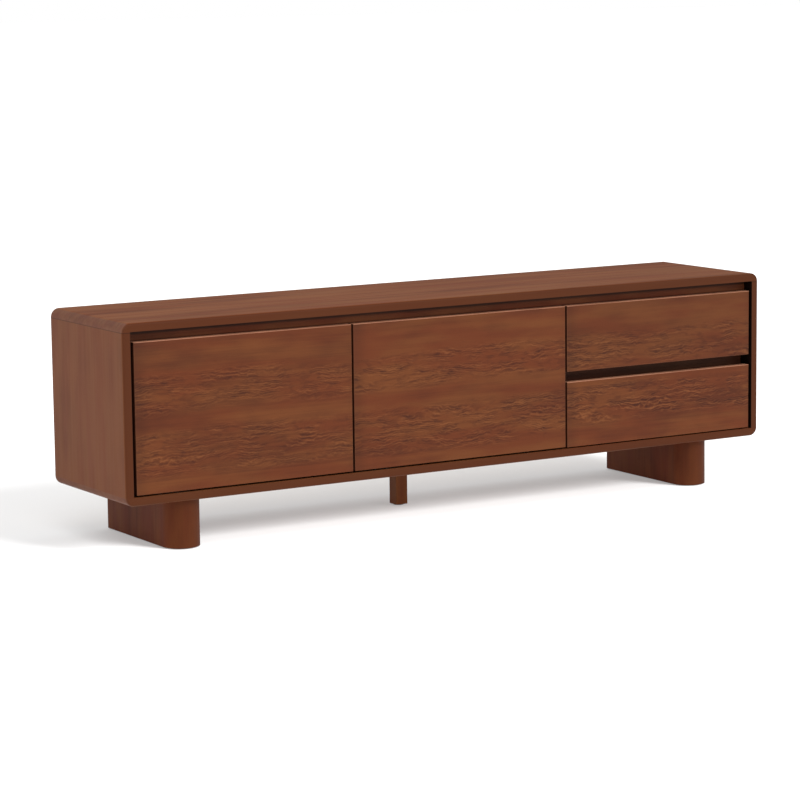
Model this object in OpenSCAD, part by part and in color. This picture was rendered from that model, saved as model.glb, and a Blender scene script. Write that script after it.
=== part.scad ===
// TV stand with two drop-down flap doors and two drawers.
// Millimetres. Z is up, the fronts face -Y, X runs along the length.
// The origin is on the floor, under the middle of the case.

/* [Case] */
// overall length of the case
body_w = 1800; // [1400:10:2200]
// overall depth of the case, front to back
body_d = 380; // [370:5:500]
// overall height from the floor to the top
body_h = 537; // [500:1:650]
// height of the space under the case
leg_h = 118; // [90:1:160]
// thickness of the top, bottom and side boards
board_t = 20; // [16:1:28]
// radius of the four long outer corners
corner_r = 21; // [20.5:0.5:32]
// how far the top turns down round the corner to meet the side boards
lip_h = 21; // [21:1:40]
// radius of the eased front edge of the case
case_ease = 6; // [1:0.5:7]
// thickness of the two dividers
divider_t = 18; // [15:1:22]
// centre of the divider between the two flap doors
divider_left_x = -301; // [-330:1:-260]
// centre of the divider between the flap doors and the drawers
divider_right_x = 307; // [270:1:330]
// distance of the dividers behind the case front
divider_setback = 38; // [37:1:50]

/* [Fronts] */
// thickness of the door and drawer fronts
front_t = 20; // [18:1:24]
// distance of the fronts behind the case front edge
front_inset = 1; // [0:0.5:6]
// gap between the fronts
front_gap = 5; // [2:0.5:6]
// gap between the side boards and the outermost fronts
side_gap = 8; // [2:0.5:8]
// gap under the flap doors
door_gap = 4.5; // [4:0.5:6]
// gap under the lower drawer front
drawer_gap = 3; // [2:0.5:5]
// height of the finger gap over the doors and the upper drawer
finger_top = 24.5; // [18:0.5:30]
// height of the finger gap between the drawers
finger_mid = 26; // [18:0.5:30]
// bottom edge of the upper drawer front above the floor
upper_front_z = 329.5; // [310:0.5:335]
// radius of the eased edges of the fronts
front_ease = 2; // [0.5:0.5:3]

/* [Finger rails] */
// distance of the top rail behind the case front
rail_y = 32; // [32:1:60]
// distance of the rail between the drawers behind the case front
mid_rail_y = 45; // [40:1:60]
// thickness of the rails
rail_t = 18; // [15:1:22]
// height of the rail under the top
top_rail_h = 55; // [45:1:60]
// height of the rail between the drawers
mid_rail_h = 35; // [28:1:38]

/* [Back, shelves] */
// thickness of the back panel
back_t = 6; // [4:0.5:9]
// rear recess of the back panel
back_recess = 2; // [1.5:0.5:5]
// width of the rebate round the back panel
rebate_w = 9; // [8.5:0.5:12]
// radius of the two cable outlets
outlet_r = 30; // [25:1:35]
// height of the cable outlets above the floor
outlet_z = 225; // [200:1:260]
// thickness of the shelves
shelf_t = 18; // [15:1:22]
// underside of the shelves above the floor
shelf_z = 322; // [316:1:340]
// setback of the shelves behind the case front
shelf_y = 70; // [60:1:120]
// radius of the shelf pins
pin_r = 2.5; // [2:0.5:3]

/* [Legs] */
// distance of the legs' outer faces from the middle of the case
leg_out_x = 774; // [700:1:820]
// thickness of the slab legs
leg_t = 90; // [60:1:100]
// distance of the legs behind the case front
leg_y = 26; // [10:1:60]
// rear end of the legs behind the case front
leg_rear_y = 366; // [340:1:370]
// eased radius of the legs' rear corners
leg_rear_r = 4; // [2:0.5:10]
// side of the square centre post
post_side = 32; // [25:1:45]
// middle of the centre post along the length
post_x = -35; // [-60:1:60]
// middle of the centre post behind the case front
post_y = 241; // [150:1:300]
// thickness of the felt pads on the floor
pad_t = 2; // [1:0.5:4]

/* [Flap hinges] */
// hinge axis behind the door's front face
hinge_a = 13; // [12:0.5:14]
// hinge axis above the door's bottom edge
hinge_h = 20; // [19:0.5:22]
// distance of the hinge cups from the ends of the doors
cup_inset = 85; // [70:1:120]
// outer radius of the hinge cups
cup_r = 17.5; // [17:0.5:18]
// depth of the hinge cups in the doors
cup_depth = 12.5; // [11.5:0.5:13]
// opening angle of the flap doors
door_open = 90; // [60:1:90]

/* [Flap stays] */
// distance of the stay pivot behind the door's hinge axis
stay_dy = 19; // [17:0.5:22]
// height of the stay pivot above the door's hinge axis
stay_dz = 132; // [120:1:138]
// direction of the fixed stud from the hinge axis
stud_angle = 38; // [34:1:44]
// width of the stay arms
arm_w = 14; // [12:0.5:16]
// thickness of the stay arms
arm_t = 2; // [1.5:0.5:3]

/* [Drawers] */
// length of the drawer slides
slide_len = 320; // [300:5:320]
// thickness of the drawer box boards
box_t = 12; // [10:1:15]
// bottom edge of the upper drawer box above the floor
upper_box_z = 340; // [338:1:344]
// height of the upper drawer box
upper_box_h = 117; // [80:1:118]
// bottom edge of the lower drawer box above the floor
lower_box_z = 149; // [147:1:153]
// height of the lower drawer box
lower_box_h = 117; // [80:1:140]
// thickness of the drawer bottoms
box_bottom_t = 6; // [4:0.5:9]

/* [Hidden] */
$fn = 64;
small = 32;
eps = 0.01;
over = 1;
run_fit = 0.05;

// case planes
half_w = body_w / 2;
in_x = half_w - board_t;
floor_z = leg_h + board_t;
roof_z = body_h - board_t;
back_y = body_d - back_recess - back_t;

// front planes
front_y = front_inset;
inner_y = front_y + front_t;
fronts_top = roof_z - finger_top;
door_z = floor_z + door_gap;
lower_front_z = floor_z + drawer_gap;
left_x0 = -in_x + side_gap;
left_x1 = divider_left_x - front_gap / 2;
mid_x0 = divider_left_x + front_gap / 2;
mid_x1 = divider_right_x - front_gap / 2;
draw_x0 = divider_right_x + front_gap / 2;
draw_x1 = in_x - side_gap;

// bays, from clear face to clear face
bay1_x0 = -in_x;
bay1_x1 = divider_left_x - divider_t / 2;
bay2_x0 = divider_left_x + divider_t / 2;
bay2_x1 = divider_right_x - divider_t / 2;
bay3_x0 = divider_right_x + divider_t / 2;
bay3_x1 = in_x;

// rails
mid_rail_z = upper_front_z - finger_mid / 2 - mid_rail_h / 2;

// screws: head radius, head height, shank radius
screw_head_r = 4;
screw_head_h = 1.5;
screw_shank_r = 1.75;

// legs and their bolts
leg_bolt_x = leg_out_x - leg_t / 2;
leg_bolt_ys = [85, 195, 305];
bolt_r = 4;
bolt_head_r = 6.5;
bolt_head_h = 5;
socket_r = 3.4;
bore_r = 8;
bore_depth = 7;
leg_bolt_len = 60;
pad_edge = 7;
pad_round = leg_t / 2 - pad_edge;

// back panel
outlet_xs = [(bay1_x0 + bay1_x1) / 2, (bay2_x0 + bay2_x1) / 2];
ring_w = 5;
ring_t = 1.5;
ring_wall = 2;
back_screw_xs = [-850, -560, -280, 0, 280, 560, 850];
back_edge = rebate_w / 2;

// shelves
shelf_play = 1;
shelf_rear = back_y - 8;
pin_len = 8;
pin_depth = 8;
pin_ys = [shelf_y + 40, shelf_rear - 50];

// hinge axis and hinge parts
hinge_y = front_y + hinge_a;
hinge_z = door_z + hinge_h;
cup_z = hinge_z + 1.5;
cup_wall = 1;
cup_floor_y = inner_y - cup_depth;
flange_t = 1.2;
flange_r = 20;
ear_x = 30;
ear_h = 14;
ear_z = 5;
ear_screw_x = 25;
cheek_in = 7;
cheek_t = 2.5;
cheek_h = 5;
hinge_pin_r = 2;
eye_r = 3.8;
eye_half = 6.5;
neck = 18;
neck_y = 28;
neck_t = 2.5;
plate_half = 15;
plate_len = 36;
plate_screw_y = [12, 26];
cup_xs_left = [left_x0 + cup_inset, left_x1 - cup_inset];
cup_xs_mid = [mid_x0 + cup_inset, mid_x1 - cup_inset];

// flap stays: the stud and the pivot are equally far from the hinge axis,
// so the arm turns by half the door's angle
stay_r = sqrt(stay_dy * stay_dy + stay_dz * stay_dz);
stay_angle = atan2(stay_dz, stay_dy);
stay_y = hinge_y + stay_dy;
stay_z = hinge_z + stay_dz;
stud_y = hinge_y + stay_r * cos(stud_angle);
stud_z = hinge_z + stay_r * sin(stud_angle);
stay_near = 2 * stay_r * sin((stay_angle - stud_angle) / 2);
stay_far = 2 * stay_r * sin((stay_angle - stud_angle + door_open) / 2);
arm_tilt = atan2(stud_z - stay_z, stud_y - stay_y);
stud_r = 3;
slot_r = stud_r + run_fit;
slot_play = 0.5;
stud_base_r = 7;
stud_base_t = 3;
stud_step_r = 4.5;
arm_x = 6;
arm_side = 0.2;
stud_head_r = 5.5;
stud_head_t = 1.6;
rivet_r = 2.5;
lug_t = 2;
lug_r = 8;
bracket_w = 16;
bracket_h = 40;
bracket_t = 2;

// magnet catches
catch_z = 478;
catch_r = 6;
catch_foot_r = 9;
catch_foot_t = 2;
strike_t = 2;
strike_r = 8;
catch_play = 0.4;
catch_xs = outlet_xs;

// drawer boxes and slides
slide_t = 12.7;
slide_y = divider_setback + 4;
box_x0 = bay3_x0 + slide_t;
box_x1 = bay3_x1 - slide_t;
box_y1 = slide_y + slide_len + 1;
groove = 5;
bottom_up = 10;
channel_half = 22.5;
sheet_t = 1.2;
channel_lip = 9.5;
mid_half = 18.8;
mid_web_x = 3;
mid_lip = 11;
runner_half = 15.2;
runner_lip = 5.2;
cage_gap = 0.1;
cage_y = 60;
cage_len = 220;
slide_zs = [upper_box_z + upper_box_h / 2, lower_box_z + lower_box_h / 2];
slide_screw_ys = [slide_y + 25, slide_y + slide_len / 2, slide_y + slide_len - 25];
slide_screw_t = 1.2;

walnut = [0.36, 0.17, 0.10];
inner_wood = [0.55, 0.36, 0.22];
steel = [0.72, 0.72, 0.74];
dark_plastic = [0.10, 0.09, 0.09];
felt = [0.25, 0.23, 0.22];

// ---------- shared shapes ----------

// the modules measure Y from the case's front edge, this puts the origin in the middle
module placed() {
  translate([0, -body_d / 2, 0]) children();
}

// turns a shape drawn in X and Z into a solid running along +Y from y
module along_y(y, length) {
  translate([0, y + length, 0]) rotate([90, 0, 0]) linear_extrude(height = length) children();
}

// turns a shape drawn in Y and Z into a solid running along +X from x
module along_x(x, length) {
  translate([x, 0, 0]) rotate([90, 0, 90]) linear_extrude(height = length) children();
}

// a bar of radius r that lies along +X
module rod_x(x, y, z, r, length) {
  translate([x, y, z]) rotate([0, 90, 0]) cylinder(r = r, h = length, $fn = small);
}

// a bar of radius r that lies along +Y
module rod_y(x, y, z, r, length) {
  translate([x, y, z]) rotate([-90, 0, 0]) cylinder(r = r, h = length, $fn = small);
}

// a board from corner a to corner b
module board(a, b) {
  translate(a) cube(b - a);
}

// rectangle with its two corners at y = 0 rounded
module eased_edge(w, d, r) {
  translate([0, r]) square([w, d - r]);
  translate([r, 0]) square([w - 2 * r, d]);
  translate([r, r]) circle(r = r);
  translate([w - r, r]) circle(r = r);
}

// a front board with its four front edges eased
module front_board(x0, x1, z0, z1) {
  intersection() {
    translate([x0, front_y, z0]) linear_extrude(height = z1 - z0)
      eased_edge(x1 - x0, front_t, front_ease);
    translate([x0, front_y, z1]) rotate([0, 90, 0]) linear_extrude(height = x1 - x0)
      eased_edge(z1 - z0, front_t, front_ease);
  }
}

// a pan head screw that goes in along +Y, its head towards -Y, seat at y
module screw_to_rear(x, y, z, length) {
  rod_y(x, y - screw_head_h, z, screw_head_r, screw_head_h);
  rod_y(x, y, z, screw_shank_r, length);
}

// a pan head screw that goes in along -Y, its head towards +Y, seat at y
module screw_to_front(x, y, z, length) {
  rod_y(x, y, z, screw_head_r, screw_head_h);
  rod_y(x, y - length, z, screw_shank_r, length);
}

// ---------- case ----------

// square bar with a round hole edge, used to ease an outer edge
module edge_cut(r) {
  difference() {
    translate([-over, -over]) square([r + over, r + over]);
    translate([r, r]) circle(r = r);
  }
}

// block with four rounded long corners, z0 to z1, full depth
module rounded_block() {
  along_y(0, body_d) {
    translate([-half_w + corner_r, leg_h]) square([body_w - 2 * corner_r, body_h - leg_h]);
    translate([-half_w, leg_h + corner_r]) square([body_w, body_h - leg_h - 2 * corner_r]);
    for (sx = [-1, 1]) {
      for (z = [leg_h + corner_r, body_h - corner_r]) {
        translate([sx * (half_w - corner_r), z]) circle(r = corner_r);
      }
    }
  }
}

// material taken off the front edge round one corner, at the origin
module corner_ease() {
  rotate([-90, 0, 0]) rotate_extrude(angle = 90) {
    difference() {
      translate([corner_r - case_ease, -over]) square([case_ease + over, case_ease + over]);
      translate([corner_r - case_ease, case_ease]) circle(r = case_ease);
    }
  }
}

// material taken off the front edges of the case
module front_ease_cut() {
  long_x = body_w - 2 * corner_r;
  long_z = body_h - leg_h - 2 * corner_r;
  for (s = [0, 1]) {
    translate([0, 0, s * (body_h + leg_h)]) mirror([0, 0, s])
      translate([-long_x / 2, 0, leg_h]) along_x(0, long_x) edge_cut(case_ease);
    mirror([s, 0, 0]) translate([-half_w, 0, leg_h + corner_r])
      linear_extrude(height = long_z) edge_cut(case_ease);
  }
  for (s = [0, 1]) {
    mirror([s, 0, 0]) {
      translate([half_w - corner_r, 0, leg_h + corner_r]) corner_ease();
      translate([half_w - corner_r, 0, body_h - corner_r]) mirror([0, 0, 1]) corner_ease();
    }
  }
}

// the case's outer body
module case_body() {
  difference() {
    rounded_block();
    front_ease_cut();
  }
}

// the space inside the case, with the rebate for the back panel
module case_space() {
  board([-in_x, -over, floor_z], [in_x, body_d + over, roof_z]);
  board([-in_x - rebate_w, back_y, floor_z - rebate_w],
        [in_x + rebate_w, body_d + over, roof_z + rebate_w]);
}

module leg_bores() {
  for (sx = [-1, 1]) {
    for (y = leg_bolt_ys) {
      translate([sx * leg_bolt_x, y, leg_h - over])
        cylinder(r = bolt_r, h = board_t + 2 * over, $fn = small);
      translate([sx * leg_bolt_x, y, floor_z - bore_depth])
        cylinder(r = bore_r, h = bore_depth + over, $fn = small);
    }
  }
  translate([post_x, post_y, leg_h - over])
    cylinder(r = bolt_r, h = board_t + 2 * over, $fn = small);
  translate([post_x, post_y, floor_z - bore_depth])
    cylinder(r = bore_r, h = bore_depth + over, $fn = small);
}

module hinge_plate_holes() {
  for (x = concat(cup_xs_left, cup_xs_mid)) {
    for (dy = plate_screw_y) {
      translate([x, hinge_y + neck_y + dy, floor_z - 12])
        cylinder(r = screw_shank_r, h = 12 + over, $fn = small);
    }
  }
}

module top() {
  placed() color(walnut) difference() {
    intersection() {
      case_body();
      board([-body_w, -over, body_h - lip_h], [body_w, body_d + over, body_h + over]);
    }
    case_space();
    back_screw_holes();
  }
}

module bottom() {
  placed() color(walnut) difference() {
    intersection() {
      case_body();
      board([-body_w, -over, leg_h - over], [body_w, body_d + over, floor_z]);
    }
    case_space();
    leg_bores();
    hinge_plate_holes();
    back_screw_holes();
  }
}

module side_board() {
  difference() {
    intersection() {
      case_body();
      board([-body_w, -over, floor_z], [0, body_d + over, body_h - lip_h]);
    }
    case_space();
  }
}

module side_left() {
  placed() color(walnut) difference() {
    side_board();
    shelf_pin_holes();
    stud_screw_holes();
  }
}

module side_right() {
  placed() color(walnut) difference() {
    mirror([1, 0, 0]) side_board();
    slide_screw_holes();
  }
}

module divider(x) {
  difference() {
    board([x - divider_t / 2, divider_setback, floor_z],
          [x + divider_t / 2, back_y, roof_z]);
    board([x - divider_t, divider_setback - over, roof_z - top_rail_h],
          [x + divider_t, rail_y + rail_t, roof_z + over]);
  }
}

module divider_left() {
  placed() color(inner_wood) difference() {
    divider(divider_left_x);
    shelf_pin_holes();
    stud_screw_holes();
  }
}

module divider_right() {
  placed() color(inner_wood) difference() {
    divider(divider_right_x);
    shelf_pin_holes();
    slide_screw_holes();
  }
}

module top_rail() {
  placed() color(walnut) difference() {
    board([-in_x, rail_y, roof_z - top_rail_h], [in_x, rail_y + rail_t, roof_z]);
    for (x = catch_xs) {
      rod_y(x, rail_y - over, catch_z, screw_shank_r, 12 + over);
    }
  }
}

module mid_rail() {
  placed() color(walnut) board([bay3_x0, mid_rail_y, mid_rail_z],
                      [bay3_x1, mid_rail_y + rail_t, mid_rail_z + mid_rail_h]);
}

// ---------- back panel ----------

module back_screw_spots() {
  for (x = back_screw_xs) {
    for (z = [floor_z - back_edge, roof_z + back_edge]) {
      translate([x, 0, z]) children();
    }
  }
}

module back_screw_holes() {
  back_screw_spots() rod_y(0, back_y - 20, 0, screw_shank_r, 20 + back_t + over);
}

module back_panel() {
  placed() color(inner_wood) difference() {
    board([-in_x - rebate_w, back_y, floor_z - rebate_w],
          [in_x + rebate_w, back_y + back_t, roof_z + rebate_w]);
    for (x = outlet_xs) {
      rod_y(x, back_y - over, outlet_z, outlet_r, back_t + 2 * over);
    }
    back_screw_spots() rod_y(0, back_y - over, 0, screw_shank_r, back_t + 2 * over);
  }
}

module cable_rings() {
  placed() color(dark_plastic) for (x = outlet_xs) {
    translate([x, back_y - ring_t, outlet_z]) rotate([-90, 0, 0]) difference() {
      union() {
        cylinder(r = outlet_r + ring_w, h = ring_t);
        cylinder(r = outlet_r, h = back_t + ring_t);
      }
      translate([0, 0, -over])
        cylinder(r = outlet_r - ring_wall, h = back_t + ring_t + 2 * over);
    }
  }
}

module back_screws() {
  placed() color(steel) back_screw_spots()
    screw_to_front(0, back_y + back_t, 0, 20 + back_t);
}

// ---------- shelves ----------

module shelf_pin_spots(x0, x1) {
  for (y = pin_ys) {
    translate([x0, y, shelf_z - pin_r]) children();
    translate([x1, y, shelf_z - pin_r]) mirror([1, 0, 0]) children();
  }
}

module shelf_pin_holes() {
  shelf_pin_spots(bay1_x0, bay1_x1) rod_x(-pin_depth, 0, 0, pin_r, pin_depth + over);
  shelf_pin_spots(bay2_x0, bay2_x1) rod_x(-pin_depth, 0, 0, pin_r, pin_depth + over);
}

module shelf_left() {
  placed() color(inner_wood) board([bay1_x0 + shelf_play, shelf_y, shelf_z],
                          [bay1_x1 - shelf_play, shelf_rear, shelf_z + shelf_t]);
}

module shelf_mid() {
  placed() color(inner_wood) board([bay2_x0 + shelf_play, shelf_y, shelf_z],
                          [bay2_x1 - shelf_play, shelf_rear, shelf_z + shelf_t]);
}

module shelf_pins() {
  placed() color(steel) {
    shelf_pin_spots(bay1_x0, bay1_x1) rod_x(-pin_depth, 0, 0, pin_r, pin_depth + pin_len);
    shelf_pin_spots(bay2_x0, bay2_x1) rod_x(-pin_depth, 0, 0, pin_r, pin_depth + pin_len);
  }
}

// ---------- legs ----------

// plan of a slab leg: half round in front, eased at the rear, inset by m
module leg_plan(m) {
  r = leg_t / 2 - m;
  y0 = leg_y + leg_t / 2;
  y1 = leg_rear_y - m;
  translate([0, y0]) circle(r = r);
  translate([-r, y0]) square([2 * r, y1 - y0 - leg_rear_r]);
  translate([-r + leg_rear_r, y0]) square([2 * (r - leg_rear_r), y1 - y0]);
  for (s = [-1, 1]) {
    translate([s * (r - leg_rear_r), y1 - leg_rear_r]) circle(r = leg_rear_r);
  }
}

module leg(x) {
  difference() {
    translate([x, 0, pad_t]) linear_extrude(height = leg_h - pad_t) leg_plan(0);
    for (y = leg_bolt_ys) {
      translate([x, y, leg_h - leg_bolt_len + board_t - bore_depth])
        cylinder(r = bolt_r, h = leg_bolt_len, $fn = small);
    }
  }
}

module leg_left() {
  placed() color(walnut) leg(-leg_bolt_x);
}

module leg_right() {
  placed() color(walnut) leg(leg_bolt_x);
}

module centre_post() {
  h = post_side / 2;
  placed() color(walnut) difference() {
    board([post_x - h, post_y - h, pad_t], [post_x + h, post_y + h, leg_h]);
    translate([post_x, post_y, leg_h - leg_bolt_len + board_t - bore_depth])
      cylinder(r = bolt_r, h = leg_bolt_len, $fn = small);
  }
}

module floor_pads() {
  placed() color(felt) {
    for (sx = [-1, 1]) {
      translate([sx * leg_bolt_x, 0, 0]) linear_extrude(height = pad_t) leg_plan(pad_edge);
    }
    translate([post_x, post_y, 0]) cylinder(r = post_side / 2 - 3, h = pad_t, $fn = small);
  }
}

// one socket head bolt, from the top of the bottom board down
module leg_bolt(x, y) {
  z = floor_z - bore_depth;
  translate([x, y, z]) difference() {
    union() {
      cylinder(r = bolt_head_r, h = bolt_head_h, $fn = small);
      translate([0, 0, -leg_bolt_len]) cylinder(r = bolt_r, h = leg_bolt_len, $fn = small);
    }
    translate([0, 0, bolt_head_h - 3]) cylinder(r = socket_r, h = 3 + over, $fn = 6);
  }
}

module leg_bolts() {
  placed() color(steel) {
    for (sx = [-1, 1]) {
      for (y = leg_bolt_ys) {
        leg_bolt(sx * leg_bolt_x, y);
      }
    }
    leg_bolt(post_x, post_y);
  }
}

// ---------- flap doors ----------

module door_bores(xs) {
  for (x = xs) {
    rod_y(x, cup_floor_y, cup_z, cup_r, cup_depth + over);
    for (s = [-1, 1]) {
      rod_y(x + s * ear_screw_x, inner_y - 12, cup_z + ear_z, screw_shank_r, 12 + over);
    }
  }
}

module bracket_bores(x) {
  for (s = [-1, 1]) {
    rod_y(x + bracket_w / 2, inner_y - 12, stay_z + s * 14, screw_shank_r, 12 + over);
  }
}

module door_left() {
  placed() color(walnut) difference() {
    front_board(left_x0, left_x1, door_z, fronts_top);
    door_bores(cup_xs_left);
    bracket_bores(bay1_x0 + arm_x + arm_t + arm_side * 2);
  }
}

module door_mid() {
  placed() color(walnut) difference() {
    front_board(mid_x0, mid_x1, door_z, fronts_top);
    door_bores(cup_xs_mid);
    bracket_bores(bay2_x0 + arm_x + arm_t + arm_side * 2);
  }
}

// hinge cup with its flange and the two cheeks that hold the pin
module hinge_cup(x) {
  inner_r = cup_r - cup_wall;
  difference() {
    union() {
      rod_y(x, cup_floor_y, cup_z, cup_r, cup_depth);
      rod_y(x, inner_y, cup_z, flange_r, flange_t);
      board([x - ear_x, inner_y, cup_z + ear_z - ear_h / 2],
            [x + ear_x, inner_y + flange_t, cup_z + ear_z + ear_h / 2]);
    }
    rod_y(x, cup_floor_y + cup_wall, cup_z, inner_r, cup_depth + flange_t);
    for (s = [-1, 1]) {
      rod_y(x + s * ear_screw_x, inner_y - over, cup_z + ear_z, screw_shank_r,
            flange_t + 2 * over);
    }
  }
  for (s = [-1, 1]) {
    difference() {
      board([x + s * (cheek_in + cheek_t / 2) - cheek_t / 2, cup_floor_y + cup_wall,
             hinge_z - cheek_h],
            [x + s * (cheek_in + cheek_t / 2) + cheek_t / 2, inner_y, hinge_z + cheek_h]);
      rod_x(x - cup_r, hinge_y, hinge_z, hinge_pin_r, 2 * cup_r);
    }
  }
}

module hinge_cups_left() {
  placed() color(steel) for (x = cup_xs_left) {
    hinge_cup(x);
  }
}

module hinge_cups_mid() {
  placed() color(steel) for (x = cup_xs_mid) {
    hinge_cup(x);
  }
}

module hinge_pin(x) {
  half = cheek_in + cheek_t;
  rod_x(x - half, hinge_y, hinge_z, hinge_pin_r, 2 * half);
}

module hinge_pins_left() {
  placed() color(steel) for (x = cup_xs_left) {
    hinge_pin(x);
  }
}

module hinge_pins_mid() {
  placed() color(steel) for (x = cup_xs_mid) {
    hinge_pin(x);
  }
}

module cup_screws(xs, bracket_x) {
  for (x = xs) {
    for (s = [-1, 1]) {
      screw_to_front(x + s * ear_screw_x, inner_y + flange_t, cup_z + ear_z, 12 + flange_t);
    }
  }
  for (s = [-1, 1]) {
    screw_to_front(bracket_x + bracket_w / 2, inner_y + bracket_t, stay_z + s * 14,
                   12 + bracket_t);
  }
}

module cup_screws_left() {
  placed() color(steel) cup_screws(cup_xs_left, bay1_x0 + arm_x + arm_t + arm_side * 2);
}

module cup_screws_mid() {
  placed() color(steel) cup_screws(cup_xs_mid, bay2_x0 + arm_x + arm_t + arm_side * 2);
}

// goosenecked arm: from the pin, over the swinging door edge, down to the floor board
module hinge_arm(x) {
  t = neck_t / 2;
  drop = floor_z - hinge_z;
  translate([0, hinge_y, hinge_z]) {
    difference() {
      union() {
        rod_x(x - eye_half, 0, 0, eye_r, 2 * eye_half);
        along_x(x - eye_half, 2 * eye_half)
          polygon([[t, -t], [neck + t, neck - t], [neck_y - t, neck - t],
                   [neck_y - t, drop], [neck_y + t, drop], [neck_y + t, neck + t],
                   [neck - t, neck + t], [-t, t]]);
      }
      rod_x(x - eye_half - over, 0, 0, hinge_pin_r + run_fit, 2 * eye_half + 2 * over);
    }
    difference() {
      board([x - plate_half, neck_y - t, drop], [x + plate_half, neck_y - t + plate_len,
                                                 drop + neck_t]);
      for (dy = plate_screw_y) {
        translate([x, neck_y + dy, drop - over])
          cylinder(r = screw_shank_r, h = neck_t + 2 * over, $fn = small);
      }
    }
  }
}

module hinge_arms() {
  placed() color(steel) for (x = concat(cup_xs_left, cup_xs_mid)) {
    hinge_arm(x);
  }
}

module hinge_screws() {
  placed() color(steel) for (x = concat(cup_xs_left, cup_xs_mid)) {
    for (dy = plate_screw_y) {
      translate([x, hinge_y + neck_y + dy, floor_z]) {
        translate([0, 0, neck_t]) cylinder(r = screw_head_r, h = screw_head_h, $fn = small);
        translate([0, 0, -12]) cylinder(r = screw_shank_r, h = 12 + neck_t, $fn = small);
      }
    }
  }
}

// ---------- flap stays ----------

module stud_screw_holes() {
  for (x = [bay1_x0, bay2_x0]) {
    rod_x(x - 10, stud_y, stud_z, stud_r, 10 + over);
  }
}

module stay_studs() {
  head_x = arm_x + arm_t + 2 * arm_side;
  placed() color(steel) for (x = [bay1_x0, bay2_x0]) {
    rod_x(x - 10, stud_y, stud_z, stud_r, 10 + head_x);
    rod_x(x, stud_y, stud_z, stud_base_r, stud_base_t);
    rod_x(x + stud_base_t, stud_y, stud_z, stud_step_r, arm_x - arm_side - stud_base_t);
    rod_x(x + head_x, stud_y, stud_z, stud_head_r, stud_head_t);
  }
}

// slotted arm, drawn with the door closed, x at the bay's side face
module stay_arm(x) {
  translate([x + arm_x, stay_y, stay_z]) rotate([arm_tilt, 0, 0]) difference() {
    union() {
      rod_x(0, 0, 0, arm_w / 2, arm_t);
      board([0, 0, -arm_w / 2], [arm_t, stay_far + slot_play, arm_w / 2]);
      rod_x(0, stay_far + slot_play, 0, arm_w / 2, arm_t);
    }
    rod_x(-over, 0, 0, rivet_r + run_fit, arm_t + 2 * over);
    rod_x(-over, stay_near - slot_play, 0, slot_r, arm_t + 2 * over);
    rod_x(-over, stay_far + slot_play, 0, slot_r, arm_t + 2 * over);
    board([-over, stay_near - slot_play, -slot_r],
          [arm_t + over, stay_far + slot_play, slot_r]);
  }
}

module stay_arm_left() {
  placed() color(steel) stay_arm(bay1_x0);
}

module stay_arm_mid() {
  placed() color(steel) stay_arm(bay2_x0);
}

// angle bracket on the door with the rivet that carries the arm
module stay_bracket(x) {
  lug_x = x + arm_x + arm_t + 2 * arm_side;
  rivet_x = x + arm_x - arm_side - sheet_t;
  difference() {
    union() {
      board([lug_x, inner_y, stay_z - bracket_h / 2],
            [lug_x + bracket_w, inner_y + bracket_t, stay_z + bracket_h / 2]);
      board([lug_x, inner_y, stay_z - lug_r], [lug_x + lug_t, stay_y, stay_z + lug_r]);
      rod_x(lug_x, stay_y, stay_z, lug_r, lug_t);
      rod_x(rivet_x, stay_y, stay_z, rivet_r, lug_x - rivet_x + lug_t);
      rod_x(rivet_x, stay_y, stay_z, rivet_r + 2, sheet_t);
    }
    for (s = [-1, 1]) {
      rod_y(lug_x + bracket_w / 2, inner_y - over, stay_z + s * 14, screw_shank_r,
            bracket_t + 2 * over);
    }
  }
}

module stay_bracket_left() {
  placed() color(steel) stay_bracket(bay1_x0);
}

module stay_bracket_mid() {
  placed() color(steel) stay_bracket(bay2_x0);
}

// ---------- magnet catches ----------

module catches() {
  nose_y = inner_y + strike_t + catch_play;
  placed() color(dark_plastic) for (x = catch_xs) {
    rod_y(x, nose_y, catch_z, catch_r, rail_y - nose_y);
    rod_y(x, rail_y - catch_foot_t, catch_z, catch_foot_r, catch_foot_t);
    rod_y(x, rail_y, catch_z, screw_shank_r, 12);
  }
}

module strike(x) {
  placed() color(steel) rod_y(x, inner_y, catch_z, strike_r, strike_t);
}

module strike_left() {
  strike(catch_xs[0]);
}

module strike_mid() {
  strike(catch_xs[1]);
}

// ---------- drawer slides ----------

// places a left slide's parts on both sides of the drawer bay at height z
module both_slides(z) {
  translate([bay3_x0, 0, z]) children();
  translate([bay3_x1, 0, z]) mirror([1, 0, 0]) children();
}

// channel section: web at x0 facing +X, flanges out to x1, half height h
module channel(x0, x1, h) {
  translate([x0, -h]) square([sheet_t, 2 * h]);
  translate([x0, -h]) square([x1 - x0, sheet_t]);
  translate([x0, h - sheet_t]) square([x1 - x0, sheet_t]);
}

module slide_screw_holes() {
  for (z = slide_zs) {
    both_slides(z) {
      for (y = slide_screw_ys) {
        rod_x(-12, y, 0, screw_shank_r, 12 + over);
      }
    }
  }
}

module slide_channels() {
  placed() color(steel) for (z = slide_zs) {
    both_slides(z) difference() {
      along_y(slide_y, slide_len) channel(0, channel_lip, channel_half);
      for (y = slide_screw_ys) {
        rod_x(-over, y, 0, screw_shank_r, sheet_t + 2 * over);
      }
    }
  }
}

module slide_screws() {
  placed() color(steel) for (z = slide_zs) {
    both_slides(z) {
      for (y = slide_screw_ys) {
        rod_x(-12, y, 0, screw_shank_r, 12 + sheet_t);
        rod_x(sheet_t, y, 0, screw_head_r, slide_screw_t);
      }
    }
  }
}

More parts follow.
